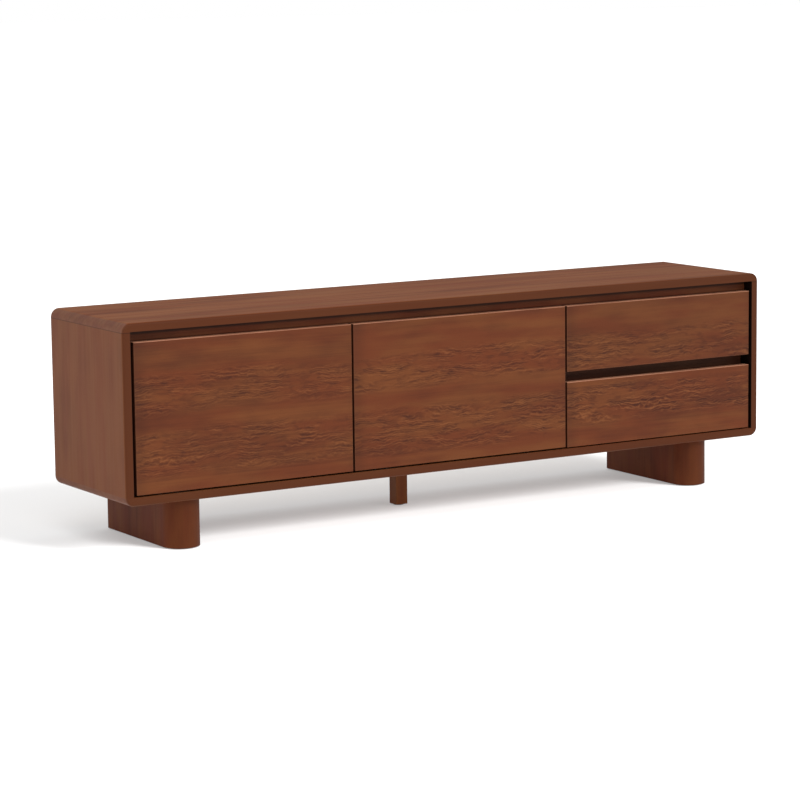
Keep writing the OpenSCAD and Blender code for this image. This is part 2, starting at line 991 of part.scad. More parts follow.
// middle member with the ball cages it carries above and below
module slide_mid(z) {
  cage_h = channel_half - sheet_t - mid_half - cage_gap;
  both_slides(z) {
    along_y(slide_y, slide_len) channel(mid_web_x, mid_lip, mid_half);
    for (s = [0, 1]) {
      mirror([0, 0, s])
        board([mid_web_x + 1, cage_y, mid_half],
              [channel_lip - 1, cage_y + cage_len, mid_half + cage_h]);
    }
  }
}

module upper_slide_mid() {
  placed() color(steel) slide_mid(slide_zs[0]);
}

module lower_slide_mid() {
  placed() color(steel) slide_mid(slide_zs[1]);
}

// inner member, fixed to the drawer side, with its own cages
module runner(z) {
  cage_h = mid_half - sheet_t - runner_half - cage_gap;
  both_slides(z) {
    along_y(slide_y, slide_len) mirror([1, 0])
      channel(-slide_t, -runner_lip, runner_half);
    for (s = [0, 1]) {
      mirror([0, 0, s])
        board([runner_lip + 1, cage_y, runner_half],
              [mid_lip - 1, cage_y + cage_len, runner_half + cage_h]);
    }
  }
}

module upper_runners() {
  placed() color(steel) runner(slide_zs[0]);
}

module lower_runners() {
  placed() color(steel) runner(slide_zs[1]);
}

// ---------- drawers ----------

module box_sides(z, h) {
  g = z + bottom_up;
  for (s = [0, 1]) {
    difference() {
      board([s == 0 ? box_x0 : box_x1 - box_t, inner_y, z],
            [s == 0 ? box_x0 + box_t : box_x1, box_y1, z + h]);
      board([box_x0 + box_t - groove, inner_y - over, g],
            [box_x1 - box_t + groove, box_y1 + over, g + box_bottom_t]);
    }
  }
}

module box_ends(z, h) {
  g = z + bottom_up;
  for (s = [0, 1]) {
    y = s == 0 ? inner_y : box_y1 - box_t;
    difference() {
      board([box_x0 + box_t, y, z], [box_x1 - box_t, y + box_t, z + h]);
      board([box_x0, inner_y + box_t - groove, g],
            [box_x1, box_y1 - box_t + groove, g + box_bottom_t]);
      if (s == 0) {
        front_screw_spots(z, h) rod_y(0, inner_y - over, 0, screw_shank_r, box_t + 2 * over);
      }
    }
  }
}

module box_bottom(z) {
  g = z + bottom_up;
  board([box_x0 + box_t - groove, inner_y + box_t - groove, g],
        [box_x1 - box_t + groove, box_y1 - box_t + groove, g + box_bottom_t]);
}

module front_screw_spots(z, h) {
  for (x = [box_x0 + 60, box_x1 - 60]) {
    for (dz = [30, h - 22]) {
      translate([x, 0, z + dz]) children();
    }
  }
}

module drawer_front(z0, z1, box_z, box_h) {
  difference() {
    front_board(draw_x0, draw_x1, z0, z1);
    front_screw_spots(box_z, box_h) rod_y(0, inner_y - 10, 0, screw_shank_r, 10 + over);
  }
}

module front_screws(z, h) {
  front_screw_spots(z, h) screw_to_front(0, inner_y + box_t, 0, box_t + 10);
}

module upper_front() {
  placed() color(walnut) drawer_front(upper_front_z, fronts_top, upper_box_z, upper_box_h);
}

module upper_sides() {
  placed() color(inner_wood) box_sides(upper_box_z, upper_box_h);
}

module upper_ends() {
  placed() color(inner_wood) box_ends(upper_box_z, upper_box_h);
}

module upper_bottom() {
  placed() color(inner_wood) box_bottom(upper_box_z);
}

module upper_screws() {
  placed() color(steel) front_screws(upper_box_z, upper_box_h);
}

module lower_front() {
  placed() color(walnut) drawer_front(lower_front_z, upper_front_z - finger_mid,
                             lower_box_z, lower_box_h);
}

module lower_sides() {
  placed() color(inner_wood) box_sides(lower_box_z, lower_box_h);
}

module lower_ends() {
  placed() color(inner_wood) box_ends(lower_box_z, lower_box_h);
}

module lower_bottom() {
  placed() color(inner_wood) box_bottom(lower_box_z);
}

module lower_screws() {
  placed() color(steel) front_screws(lower_box_z, lower_box_h);
}

top();
bottom();
side_left();
side_right();
divider_left();
divider_right();
top_rail();
mid_rail();
back_panel();
cable_rings();
back_screws();
shelf_left();
shelf_mid();
shelf_pins();
leg_left();
leg_right();
centre_post();
floor_pads();
leg_bolts();
door_left();
door_mid();
hinge_cups_left();
hinge_cups_mid();
hinge_pins_left();
hinge_pins_mid();
cup_screws_left();
cup_screws_mid();
hinge_arms();
hinge_screws();
stay_studs();
stay_bracket_left();
stay_bracket_mid();
stay_arm_left();
stay_arm_mid();
catches();
strike_left();
strike_mid();
slide_channels();
slide_screws();
upper_slide_mid();
lower_slide_mid();
upper_runners();
lower_runners();
upper_front();
upper_sides();
upper_ends();
upper_bottom();
upper_screws();
lower_front();
lower_sides();
lower_ends();
lower_bottom();
lower_screws();
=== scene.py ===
# %% [markdown]
# # A low stand for a television, in stained wood
# The stand is a long box on two slab legs and a square centre post. Two doors drop down on
# hidden hinges, and two drawers run on ball slides. All that moves and fits comes from the
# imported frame. This lesson gives it its looks: wood that follows the way each board was cut,
# metal, plastic and felt for the fittings, and small hardware with real recesses.
# We load the frame first and keep its box, because the looks have to stay inside it.

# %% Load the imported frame
import math

import bpy
from mathutils import Matrix, Vector


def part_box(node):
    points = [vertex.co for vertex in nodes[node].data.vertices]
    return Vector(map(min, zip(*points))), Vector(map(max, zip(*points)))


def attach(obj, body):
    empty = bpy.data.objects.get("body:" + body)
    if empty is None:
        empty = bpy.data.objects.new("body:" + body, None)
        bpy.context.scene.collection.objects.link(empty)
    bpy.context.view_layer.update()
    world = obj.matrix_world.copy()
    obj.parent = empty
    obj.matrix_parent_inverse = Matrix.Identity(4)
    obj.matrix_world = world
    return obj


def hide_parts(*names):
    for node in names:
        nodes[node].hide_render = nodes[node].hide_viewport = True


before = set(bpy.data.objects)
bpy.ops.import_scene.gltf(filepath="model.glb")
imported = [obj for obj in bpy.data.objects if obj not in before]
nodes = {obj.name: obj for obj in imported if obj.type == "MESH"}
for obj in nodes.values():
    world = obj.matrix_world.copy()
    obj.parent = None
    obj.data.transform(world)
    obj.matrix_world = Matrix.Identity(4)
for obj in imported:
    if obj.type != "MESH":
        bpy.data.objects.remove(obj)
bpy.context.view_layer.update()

# %% [markdown]
# ## The studio
# A piece of furniture is shown on a plain pale floor under broad soft light. The camera stands
# in front of the left end, a little above the top, with a long lens, so that the lines of the
# case stay nearly parallel. It is made first, so that every later step can be looked at.

# %% The camera
camera_place = Vector((-3.7932, -6.1576, 1.3302))
camera_yaw = math.radians(31.24)
camera_pitch = math.radians(8.38)
camera_roll = math.radians(0.68)
camera_lens = 133.5
sensor_width = 36.0


def make_camera():
    data = bpy.data.cameras.new("studio_camera")
    data.lens = camera_lens
    data.sensor_width = sensor_width
    data.clip_end = 200.0
    camera = bpy.data.objects.new("studio_camera", data)
    turn = Matrix.Rotation(-camera_yaw, 4, "Z")
    tip = Matrix.Rotation(math.pi / 2 - camera_pitch, 4, "X")
    roll = Matrix.Rotation(-camera_roll, 4, "Z")
    camera.matrix_world = Matrix.Translation(camera_place) @ turn @ tip @ roll
    bpy.context.scene.collection.objects.link(camera)
    bpy.context.scene.camera = camera
    return camera


camera = make_camera()
print("camera at", [round(x, 3) for x in camera.location], "lens", camera_lens)

# %% [markdown]
# ## One class for shader maths
# A material is a tree of nodes. Written node by node it is long and hard to read, so a small
# class wraps one output of a node. Adding or multiplying two of them adds the Math node that
# does it, and the last line of a material then reads like the formula it is. Every other node
# comes from the method `node`, which sets the node up before it links anything.

# %% The wire class
class Wire:
    """One output of a node in a material, usable in an expression."""

    def __init__(self, tree, socket=None):
        self.tree = tree
        self.socket = socket

    def node(self, kind, settings=None, sockets=None, out=0):
        """Adds a node: first its settings, then the values or links of its sockets."""
        made = self.tree.nodes.new(kind)
        for name, value in (settings or {}).items():
            setattr(made, name, value)
        for key, value in (sockets or {}).items():
            if isinstance(value, Wire):
                self.tree.links.new(value.socket, made.inputs[key])
            else:
                made.inputs[key].default_value = value
        return Wire(self.tree, made.outputs[out])

    def maths(self, operation, first, second=0.0):
        return self.node("ShaderNodeMath", {"operation": operation}, {0: first, 1: second})

    def __add__(self, other):
        return self.maths("ADD", self, other)

    def __radd__(self, other):
        return self.maths("ADD", other, self)

    def __sub__(self, other):
        return self.maths("SUBTRACT", self, other)

    def __rsub__(self, other):
        return self.maths("SUBTRACT", other, self)

    def __mul__(self, other):
        return self.maths("MULTIPLY", self, other)

    def __rmul__(self, other):
        return self.maths("MULTIPLY", other, self)

    def __truediv__(self, other):
        return self.maths("DIVIDE", self, other)

    def __pow__(self, other):
        return self.maths("POWER", self, other)


print("a wire understands + - * / and **")

# %% [markdown]
# A few small helpers use the class. `step` turns a value into a soft-edged mask, `blend` mixes
# two colours, and `stretched` squeezes space before a noise is read from it, which is how one
# round noise becomes long wood fibres.

# %% Helpers for masks, colours and noise
def step(value, low, high):
    """0 below low, 1 above high, and a smooth ramp between; low above high turns it round."""
    settings = {"interpolation_type": "SMOOTHSTEP", "clamp": True}
    if low <= high:
        ends = {"From Min": low, "From Max": high, "To Min": 0.0, "To Max": 1.0}
    else:
        ends = {"From Min": high, "From Max": low, "To Min": 1.0, "To Max": 0.0}
    return value.node("ShaderNodeMapRange", settings, {"Value": value, **ends})


def blend(first, second, share):
    """A colour between two colours; share is a number or a mask."""
    settings = {"data_type": "RGBA", "blend_type": "MIX", "clamp_factor": True}
    wire = next(item for item in (share, first, second) if isinstance(item, Wire))
    return wire.node("ShaderNodeMix", settings, {0: share, 6: first, 7: second}, out=2)


def stretched(place, scales, offset=(0.0, 0.0, 0.0)):
    """The place with each of its three directions scaled, then moved."""
    settings = {"operation": "MULTIPLY_ADD"}
    return place.node("ShaderNodeVectorMath", settings, {0: place, 1: scales, 2: offset})


def noise(place, detail=2.0, roughness=0.5, distortion=0.0):
    """Soft noise from 0 to 1, with its middle at one half; `stretched` sets its scale."""
    sockets = {"Vector": place, "Scale": 1.0, "Detail": detail,
               "Roughness": roughness, "Distortion": distortion}
    return place.node("ShaderNodeTexNoise", {"noise_dimensions": "3D"}, sockets)


def srgb(red, green, blue):
    """A colour given as it looks on a screen, from 0 to 255, in the linear values of a shader."""
    def linear(value):
        share = value / 255.0
        return share / 12.92 if share <= 0.04045 else ((share + 0.055) / 1.055) ** 2.4
    return (linear(red), linear(green), linear(blue), 1.0)


def toned(colour, tone):
    """A screen colour made lighter or darker, by one factor or by one for each channel."""
    factors = tone if isinstance(tone, tuple) else (tone, tone, tone)
    return srgb(*[part * factor for part, factor in zip(colour, factors)])


def new_material(name):
    """An empty material: its Principled shader and a wire to start expressions from."""
    material = bpy.data.materials.new(name)
    material.use_nodes = True
    shader = material.node_tree.nodes["Principled BSDF"]
    return material, shader, Wire(material.node_tree)


def feed(shader, **sockets):
    """Links wires to the shader's sockets, or sets plain values on them."""
    for name, value in sockets.items():
        socket = shader.inputs[name.replace("_", " ")]
        if isinstance(value, Wire):
            value.tree.links.new(value.socket, socket)
        else:
            socket.default_value = value


print("shader helpers ready")

# %% [markdown]
# ## Stained wood
# The stand is made of a pale wood stained red-brown and finished with a satin lacquer. Its
# panels are glued up from planks. Some planks are calm, and some are cut where the grain waves,
# so that fine dark ripples and blisters show in long bands. One recipe makes all of them: it
# needs only the direction in which the fibres run and the heights of the lively planks. The
# pattern is solid, read from the object's own place in space, so it wraps over edges as real
# wood does and moves with a door when the door opens.

# %% Grain space
AXES = {"x": 0, "y": 1, "z": 2}


def grain_space(start, along, across, through, shift):
    """The place in the piece, turned so that X runs with the fibres and Y across the board."""
    place = start.node("ShaderNodeTexCoord", out="Object")
    parts = [place.node("ShaderNodeSeparateXYZ", None, {0: place}, out=i) for i in range(3)]
    picked = {"X": parts[AXES[along]], "Y": parts[AXES[across]], "Z": parts[AXES[through]]}
    turned = start.node("ShaderNodeCombineXYZ", None, picked)
    return stretched(turned, (1.0, 1.0, 1.0), shift), parts


def end_grain_mask(start, along):
    """1 where the surface cuts across the fibres, from the piece's own normal."""
    normal = start.node("ShaderNodeTexCoord", out="Normal")
    part = normal.node("ShaderNodeSeparateXYZ", None, {0: normal}, out=AXES[along])
    return step(part.maths("ABSOLUTE", part), 0.72, 0.96)


def forward_part(start):
    """How far the surface looks to the front of the stand: 1 on its face, -1 on its back."""
    normal = start.node("ShaderNodeTexCoord", out="Normal")
    return 0.0 - normal.node("ShaderNodeSeparateXYZ", None, {0: normal}, out=1)


print("axes of a board:", AXES)

# %% [markdown]
# The lively bands are the sum of soft windows over the board's width. Inside them a wavy line
# pattern is bent by two noises: a slow one makes the waves, and a quick one breaks them into
# blisters and short strokes.

# %% The figure of the lively planks
def band_mask(width_place, bands, softness):
    """A mask that is 1 inside each (low, high) band of the board's width."""
    mask = None
    for low, high in bands:
        window = (step(width_place, low - softness, low + softness)
                  * step(width_place, high + softness, high - softness))
        mask = window if mask is None else mask.maths("MAXIMUM", mask, window)
    return mask


def ripples(space, spacing, start=(0.0, 0.0, 0.0)):
    """Wavy growth lines cut at a shallow angle: a wave from 0 to 1 that closes into blisters."""
    slow = noise(stretched(space, (7.0, 16.0, 16.0), start), detail=1.0)
    quick = noise(stretched(space, (44.0, 66.0, 66.0), start), detail=2.0)
    bend = (slow - 0.5) * 0.046 + (quick - 0.5) * 0.016
    across = space.node("ShaderNodeSeparateXYZ", None, {0: space}, out=1)
    phase = (across + bend) * (2 * math.pi / spacing)
    return phase.maths("SINE", phase) * 0.5 + 0.5


print("helpers for the lively planks are ready")

# %% [markdown]
# Stain sinks in unevenly, so no board is one colour. The calm wood has planks of slightly
# different tone, slow clouds, redder patches, long streaks and fine fibres. They are all the same
# noise, drawn out by different amounts, and their sum decides how deep the colour goes. A `flow`
# below 1 draws the clouds of a long board out into narrow streaks.

# %% The calm wood
BROWN_STAIN = (110, 61, 32)
RED_STAIN = (101, 48, 24)
DEEP_STAIN = (62, 27, 15)


def calm_wood(start, space, width_place, tone, plank_start, plank, contrast, flow):
    """The colour of a calm board, with the two noises that also make its relief."""
    plank_number = start.maths("FLOOR", (width_place + plank_start) / plank)
    plank_tone = start.node("ShaderNodeTexWhiteNoise", {"noise_dimensions": "1D"},
                            {"W": plank_number})
    clouds = noise(stretched(space, (2.6 * flow, 9.0 / flow, 9.0 / flow)), detail=2.0,
                   roughness=0.45)
    mottles = noise(stretched(space, (11.0 * flow, 30.0 / flow, 30.0 / flow), (6.0, 0.2, 3.3)),
                    detail=2.0)
    redness = noise(stretched(space, (4.0 * flow, 22.0 / flow, 22.0 / flow), (3.1, 1.7, 0.4)),
                    detail=2.0)
    streaks = noise(stretched(space, (3.0, 130.0, 130.0)), detail=3.0, roughness=0.6)
    fibres = noise(stretched(space, (9.0, 620.0, 620.0)), detail=2.0)

    reddened = step(redness, 0.38, 0.64) * contrast + 0.5 * (1.0 - contrast)
    even = blend(toned(BROWN_STAIN, tone), toned(RED_STAIN, tone), reddened)
    depth = ((clouds - 0.5) * 0.85 + (mottles - 0.5) * 0.60 + (plank_tone - 0.5) * 0.16
             + (streaks - 0.5) * 0.46 + (fibres - 0.5) * 0.18) * contrast
    return blend(even, toned(DEEP_STAIN, tone), step(depth, -0.14, 0.42) * 0.62), streaks, fibres


print("stains:", BROWN_STAIN, RED_STAIN, DEEP_STAIN)

# %% [markdown]
# On top of it come the lively bands. The wave lines darken where they are high and let a pale
# thread through where they are low, in loose patches, so that the figure comes and goes.

# %% The lively figure
PALE_STAIN = (144, 90, 58)
WIDE_WAVE = 0.0150
FINE_WAVE = 0.0062
BAND_SOFTNESS = 0.014


def lively_figure(colour, space, width_place, bands, liveliness, tone):
    """The colour with ripples, blisters and pale threads inside the bands."""
    warp = (noise(stretched(space, (3.0, 7.0, 7.0), (7.3, 2.2, 5.1))) - 0.5) * 0.05
    lively = band_mask(width_place + warp, bands, BAND_SOFTNESS) * liveliness
    patches = step(noise(stretched(space, (13.0, 34.0, 34.0), (1.2, 0.4, 6.6)), detail=2.0),
                   0.34, 0.62)
    blotches = step(noise(stretched(space, (30.0, 84.0, 84.0), (4.4, 8.1, 0.9)), detail=2.0,
                          distortion=0.6), 0.47, 0.68)
    wide = ripples(space, WIDE_WAVE)
    fine = ripples(space, FINE_WAVE, (5.2, 0.3, 2.0))
    dark = (wide ** 2.0 * 0.28 + fine ** 2.0 * 0.26) * patches + blotches * 0.27
    colour = blend(colour, toned(DEEP_STAIN, tone), lively * dark)
    threads = (1.0 - wide) ** 9.0 * 0.34 + (1.0 - fine) ** 6.0 * 0.36
    return blend(colour, toned(PALE_STAIN, tone), lively * threads * patches * 0.46)


print("waves every", WIDE_WAVE, "m and every", FINE_WAVE, "m")

# %% [markdown]
# A board is also darker or lighter at its borders. Where the fibres are cut across, the stain
# sinks in and the lacquer looks dull, and the rounded ends that turn aside get a painted grey
# sheen. A solid lipping along a front edge is stained deeper. The edges that look up are painted
# pale: partly wear, partly a painted highlight. A mark is one more dark zone, for a joint line or
# for shade that is painted on: an axis, the place where it starts, where it is full, and its
# strength.

# %% The borders of a board
EDGE_STAIN = (70, 33, 13)
WORN_AND_HIGHLIT_STAIN = (176, 124, 98)
JOINT_AND_PAINTED_SHADE = (20, 9, 5)
PAINTED_SHEEN_GREY = (88, 66, 60)


def sheen_painted_ends(start, colour, end_sheen_paint):
    """Paints a grey sheen on the rounded ends of a board that turn to the left and the right."""
    normal = start.node("ShaderNodeTexCoord", out="Normal")
    sideways = normal.node("ShaderNodeSeparateXYZ", None, {0: normal}, out=0)
    turned_down = step(sideways.maths("ABSOLUTE", sideways), 0.15, 0.50)
    return blend(colour, srgb(*PAINTED_SHEEN_GREY), turned_down * end_sheen_paint)


def worn_and_highlit_edges(start, colour, space, edge_light):
    """Wear and a painted highlight: pale on the upward edges, a trace on the rounded ones."""
    normal = start.node("ShaderNodeTexCoord", out="Normal")
    upward = normal.node("ShaderNodeSeparateXYZ", None, {0: normal}, out=2)
    forward = forward_part(start)
    worn = step(noise(stretched(space, (9.0, 60.0, 60.0), (0.5, 0.2, 0.9))), 0.30, 0.60)
    rounded = step(forward, 0.12, 0.40) * step(forward, 0.985, 0.90)
    # Painted highlight: the edges that look up are painted pale, and the worn noise adds real wear.
    worn_and_highlit = start.maths("MAXIMUM", rounded * 0.10, step(upward, 0.30, 0.70))
    return blend(colour, srgb(*WORN_AND_HIGHLIT_STAIN), worn_and_highlit * (0.65 + worn * 0.35) * edge_light)


def with_marks(colour, parts, marks):
    """Dark zones along an axis; "abs x" measures from the middle of the stand to both sides."""
    for axis, none, full, strength in marks:
        measure = parts[AXES[axis[-1]]]
        if axis.startswith("abs"):
            measure = measure.maths("ABSOLUTE", measure)
        # One dark colour serves real joint lines and painted shade alike.
        colour = blend(colour, srgb(*JOINT_AND_PAINTED_SHADE), step(measure, none, full) * strength)
    return colour


print("edges:", EDGE_STAIN, "rubbed:", WORN_AND_HIGHLIT_STAIN)

# %% The recipe for stained wood
LACQUER_IOR = 1.48


def stained_wood(name, along, across, through, bands=(), liveliness=1.0, tone=1.0,
                 shift=(0.0, 0.0, 0.0), plank=0.085, contrast=1.0, lipping=0.0,
                 edge_light=0.0, end_depth=0.28, end_sheen_paint=0.0, gloss=0.14, marks=(),
                 flow=1.0):
    """A satin, red-brown stained wood whose fibres run along one axis of the piece."""
    material, shader, start = new_material(name)
    space, parts = grain_space(start, along, across, through, shift)
    width_place = parts[AXES[across]]
    deep = toned(DEEP_STAIN, tone)

    colour, streaks, fibres = calm_wood(start, space, width_place, tone, shift[1], plank,
                                        contrast, flow)
    if bands:
        colour = lively_figure(colour, space, width_place, bands, liveliness, tone)
    pores = step(noise(stretched(space, (55.0, 1500.0, 1500.0)), detail=1.0), 0.66, 0.76)
    colour = blend(colour, deep, pores * 0.30)
    cut = end_grain_mask(start, along)
    colour = blend(colour, deep, cut * end_depth)
    # A grey sheen painted on the ends that turn aside.
    if end_sheen_paint:
        colour = sheen_painted_ends(start, colour, end_sheen_paint)
    if lipping:
        lipped = step(forward_part(start), 0.10, 0.85)
        colour = blend(colour, srgb(*EDGE_STAIN), lipped * lipping)
    colour = with_marks(colour, parts, marks)
    # Pale edges: partly wear, partly a painted highlight on the edges that look up.
    if edge_light:
        colour = worn_and_highlit_edges(start, colour, space, edge_light)

    roughness = 0.54 + (streaks - 0.5) * 0.16 + cut * 0.12 + pores * 0.10
    relief = streaks * 0.35 + fibres * 0.25 - pores * 0.5
    bump = start.node("ShaderNodeBump", None,
                      {"Strength": 0.16, "Distance": 0.0006, "Height": relief})
    feed(shader, Base_Color=colour, Roughness=roughness, Normal=bump)
    feed(shader, IOR=LACQUER_IOR, Specular_IOR_Level=gloss)
    return material


print("the recipe for stained wood is ready, with a lacquer of IOR", LACQUER_IOR)

# %% [markdown]
# The lively planks lie at about the same height on every front, as if all were cut from one
# panel, but the figure does not run on: each front reads its own part of the noise. The heights
# are shares of a door's height. The darker margins of a front are painted shade, laid on as marks.

# %% Woods for the fronts
FRONT_TONE = (0.90, 0.88, 0.76)
door_low, door_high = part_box("door_left")


def at_share(share):
    """A height on the doors, from 0 at the bottom edge to 1 at the top edge."""
    return door_low.z + share * (door_high.z - door_low.z)


def front_panel(node_name, bands, liveliness=1.0, shift=(0.0, 0.0, 0.0), level=1.0):
    """A front's wood: worn top edge with painted highlight; painted shade on ends and margins."""
    heights = [(at_share(low), at_share(high)) for low, high in bands]
    low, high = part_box(node_name)
    # Painted shade: the fronts are darkened along their left, right and top margins.
    painted_shade_margins = [("x", low.x + 0.045, low.x, 0.22), ("x", high.x - 0.020, high.x, 0.08),
               ("z", high.z - 0.030, high.z - 0.003, 0.10)]
    tone = tuple(part * level for part in FRONT_TONE)
    # The end faces are darkened strongly: partly end grain, partly painted shade in the gaps.
    return stained_wood(node_name + "_wood", "x", "z", "y", heights, liveliness, tone, shift,
                        contrast=0.85, edge_light=0.8, end_depth=0.8, marks=painted_shade_margins)


door_bands = [(0.10, 0.40), (0.54, 0.77)]
front_wood = {
    "door_left": front_panel("door_left", door_bands, 1.15),
    "door_mid": front_panel("door_mid", door_bands, 1.25, (4.0, 0.0, 0.7)),
    "upper_front": front_panel("upper_front", [(0.53, 0.78)], 1.3, (9.0, 0.02, 1.3), 0.96),
    "lower_front": front_panel("lower_front", [(0.16, 0.41)], 1.5, (13.0, 0.05, 2.1), 1.04),
}
print("woods for the fronts:", list(front_wood))

# %% [markdown]
# The top and the bottom are long boards whose fibres run along the stand, and the fibres of the
# side boards and the legs stand upright. The side boards carry two marks. One is a fine dark line
# where the side meets the top. The other paints the whole inner face nearly black, so that the
# narrow gap beside the fronts reads as dark. That is painted shade and no finish that a maker
# would use: with a door open it shows as a black wall, and it is a known fault of this scene.
# The two darker strips on the rail in the finger gap are painted shade as well.
#
# The tone of each part was set by trial under this one set of lamps, so it holds some of the
# difference in light between the parts. Under other lamps the tones may need setting again.

# %% Woods for the case and the legs
inner_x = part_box("top_rail")[1].x
roof_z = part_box("top_rail")[1].z
seam_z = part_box("side_left")[1].z
side_marks = [("abs x", inner_x + 0.0006, inner_x + 0.0002, 1.0),
              ("z", seam_z - 0.0024, seam_z - 0.0012, 0.45)]
rail_marks = [("z", roof_z - 0.013, roof_z - 0.007, 0.75),
              ("z", roof_z - 0.0215, roof_z - 0.0245, 0.55)]
# The grey on the top's rounded ends is painted sheen.
top_wood = stained_wood("top_wood", "x", "y", "z", tone=(1.10, 1.20, 1.30), shift=(1.0, 0.0, 0.0),
                        plank=0.095, contrast=0.85, lipping=0.9, end_depth=0.05, end_sheen_paint=0.5,
                        gloss=0.10, flow=0.5)
side_wood = stained_wood("side_wood", "z", "y", "x", tone=(0.97, 1.06, 1.20),
                         shift=(0.0, 0.03, 0.0), plank=0.075, contrast=0.45, lipping=0.9,
                         gloss=0.10, marks=side_marks)
rail_wood = stained_wood("rail_wood", "x", "z", "y", tone=0.98, marks=rail_marks)
# Its low tone is painted shade of the gap between the drawers.
mid_rail_wood = stained_wood("mid_rail_wood", "x", "z", "y", tone=0.64)
leg_wood = stained_wood("leg_wood", "z", "y", "x", tone=(0.85, 0.76, 0.62), shift=(2.0, 0.0, 0.3),
                        plank=0.09, lipping=0.5, gloss=0.10)
post_wood = stained_wood("post_wood", "z", "x", "y", tone=(0.96, 0.95, 0.70),
                         shift=(6.0, 0.0, 0.1), plank=0.06)
print("stained woods:", sorted(material.name for material in bpy.data.materials))

# %% [markdown]
# ## The wood inside
# Inside, the same wood is left unstained and only sealed, on thinner boards. It shows pale
# clouds, soft growth rings and fine streaks. The dividers show their front edges in the gaps
# between the fronts, so a `stained_edge` gives such an edge the stain of the case.

# %% Unstained inner wood
SEALED_PALE = (186, 146, 104)
SEALED_TAN = (168, 122, 82)
RING_BROWN = (122, 82, 52)
STREAK_BROWN = (112, 74, 46)
CUT_BROWN = (104, 68, 42)


def inner_wood(name, along, across, through, shift=(0.0, 0.0, 0.0), flow=1.0, stained_edge=0.0):
    """The sealed, unstained wood of dividers, shelves, drawers and the back."""
    material, shader, start = new_material(name)
    space, parts = grain_space(start, along, across, through, shift)
    clouds = noise(stretched(space, (2.0 * flow, 8.0 / flow, 8.0 / flow)), detail=2.0)
    streaks = noise(stretched(space, (3.0, 120.0, 120.0)), detail=4.0, roughness=0.62)
    fibres = noise(stretched(space, (10.0, 700.0, 700.0)), detail=2.0)
    rings = noise(stretched(space, (1.1 * flow, 26.0 / flow, 26.0 / flow), (0.0, 3.0, 1.0)),
                  detail=3.0, distortion=0.6 * flow)
    pale = blend(srgb(*SEALED_PALE), srgb(*SEALED_TAN), step(clouds, 0.35, 0.65))
    colour = blend(pale, srgb(*RING_BROWN), step(rings, 0.52, 0.70) * 0.45)
    colour = blend(colour, srgb(*STREAK_BROWN), step(streaks, 0.55, 0.78) * 0.45)
    cut = end_grain_mask(start, along)
    colour = blend(colour, srgb(*CUT_BROWN), cut * 0.35)
    if stained_edge:
        fronted = step(forward_part(start), 0.5, 0.9)
        colour = blend(colour, srgb(*EDGE_STAIN), fronted * stained_edge)
    roughness = 0.52 + (streaks - 0.5) * 0.2 + cut * 0.1
    relief = streaks * 0.6 + fibres * 0.4
    bump = start.node("ShaderNodeBump", None,
                      {"Strength": 0.2, "Distance": 0.0005, "Height": relief})
    feed(shader, Base_Color=colour, Roughness=roughness, Normal=bump)
    feed(shader, IOR=LACQUER_IOR, Specular_IOR_Level=0.35)
    return material


carcase_wood = inner_wood("carcase_wood", "z", "y", "x", stained_edge=0.9)
shelf_wood = inner_wood("shelf_wood", "x", "y", "z", (2.0, 0.0, 0.0))
back_wood = inner_wood("back_wood", "x", "z", "y", (5.0, 0.0, 0.0), flow=0.45)
drawer_side_wood = inner_wood("drawer_side_wood", "y", "z", "x", (1.0, 0.0, 0.4))
drawer_end_wood = inner_wood("drawer_end_wood", "x", "z", "y", (3.0, 0.0, 0.8))
drawer_bottom_wood = inner_wood("drawer_bottom_wood", "x", "y", "z", (7.0, 0.2, 0.0))
print("materials so far:", len(bpy.data.materials))

# %% [markdown]
# ## Metal, plastic and felt
# The fittings are zinc-plated steel, which is never one even grey: it is brushed by rolling and
# clouded by the plating bath. The slides are duller than the hinges, for their steel is coarser.
# The plastic parts are moulded with a fine spark-eroded skin, and the pads under the legs are
# pressed felt.

# %% Plated steel
ZINC_LIGHT = (206, 207, 205)
ZINC_DIM = (182, 184, 186)
ZINC_YELLOW = (196, 186, 160)


def plated_steel(name, bright=1.0, along="x", metal=1.0, dullness=0.0):
    """Zinc-plated sheet: rolling lines, plating clouds and a little handling wear."""
    material, shader, start = new_material(name)
    place = start.node("ShaderNodeTexCoord", out="Object")
    scales = [900.0, 900.0, 900.0]
    scales[AXES[along]] = 30.0
    rolled = noise(stretched(place, tuple(scales)), detail=3.0, roughness=0.6)
    clouds = noise(stretched(place, (60.0, 60.0, 60.0)), detail=3.0)
    spots = step(noise(stretched(place, (340.0, 340.0, 340.0)), detail=2.0), 0.62, 0.72)
    colour = blend(toned(ZINC_LIGHT, bright), toned(ZINC_DIM, bright),
                   step(clouds + rolled * 0.4, 0.5, 0.95))
    colour = blend(colour, srgb(*ZINC_YELLOW), spots * 0.18)
    roughness = 0.27 + dullness + rolled * 0.16 + clouds * 0.08
    bump = start.node("ShaderNodeBump", None,
                      {"Strength": 0.05, "Distance": 0.0002, "Height": rolled})
    feed(shader, Base_Color=colour, Roughness=roughness, Normal=bump, Metallic=metal)
    return material


steel = plated_steel("steel")
slide_steel = plated_steel("slide_steel", bright=0.95, along="y", metal=0.8, dullness=0.14)
screw_steel = plated_steel("screw_steel", bright=1.02)
print("steels:", steel.name, slide_steel.name, screw_steel.name)

# %% Moulded plastic and pressed felt
PLASTIC_BLACK = (27, 26, 26)
FELT_LIGHT = (98, 90, 82)
FELT_DARK = (58, 53, 49)


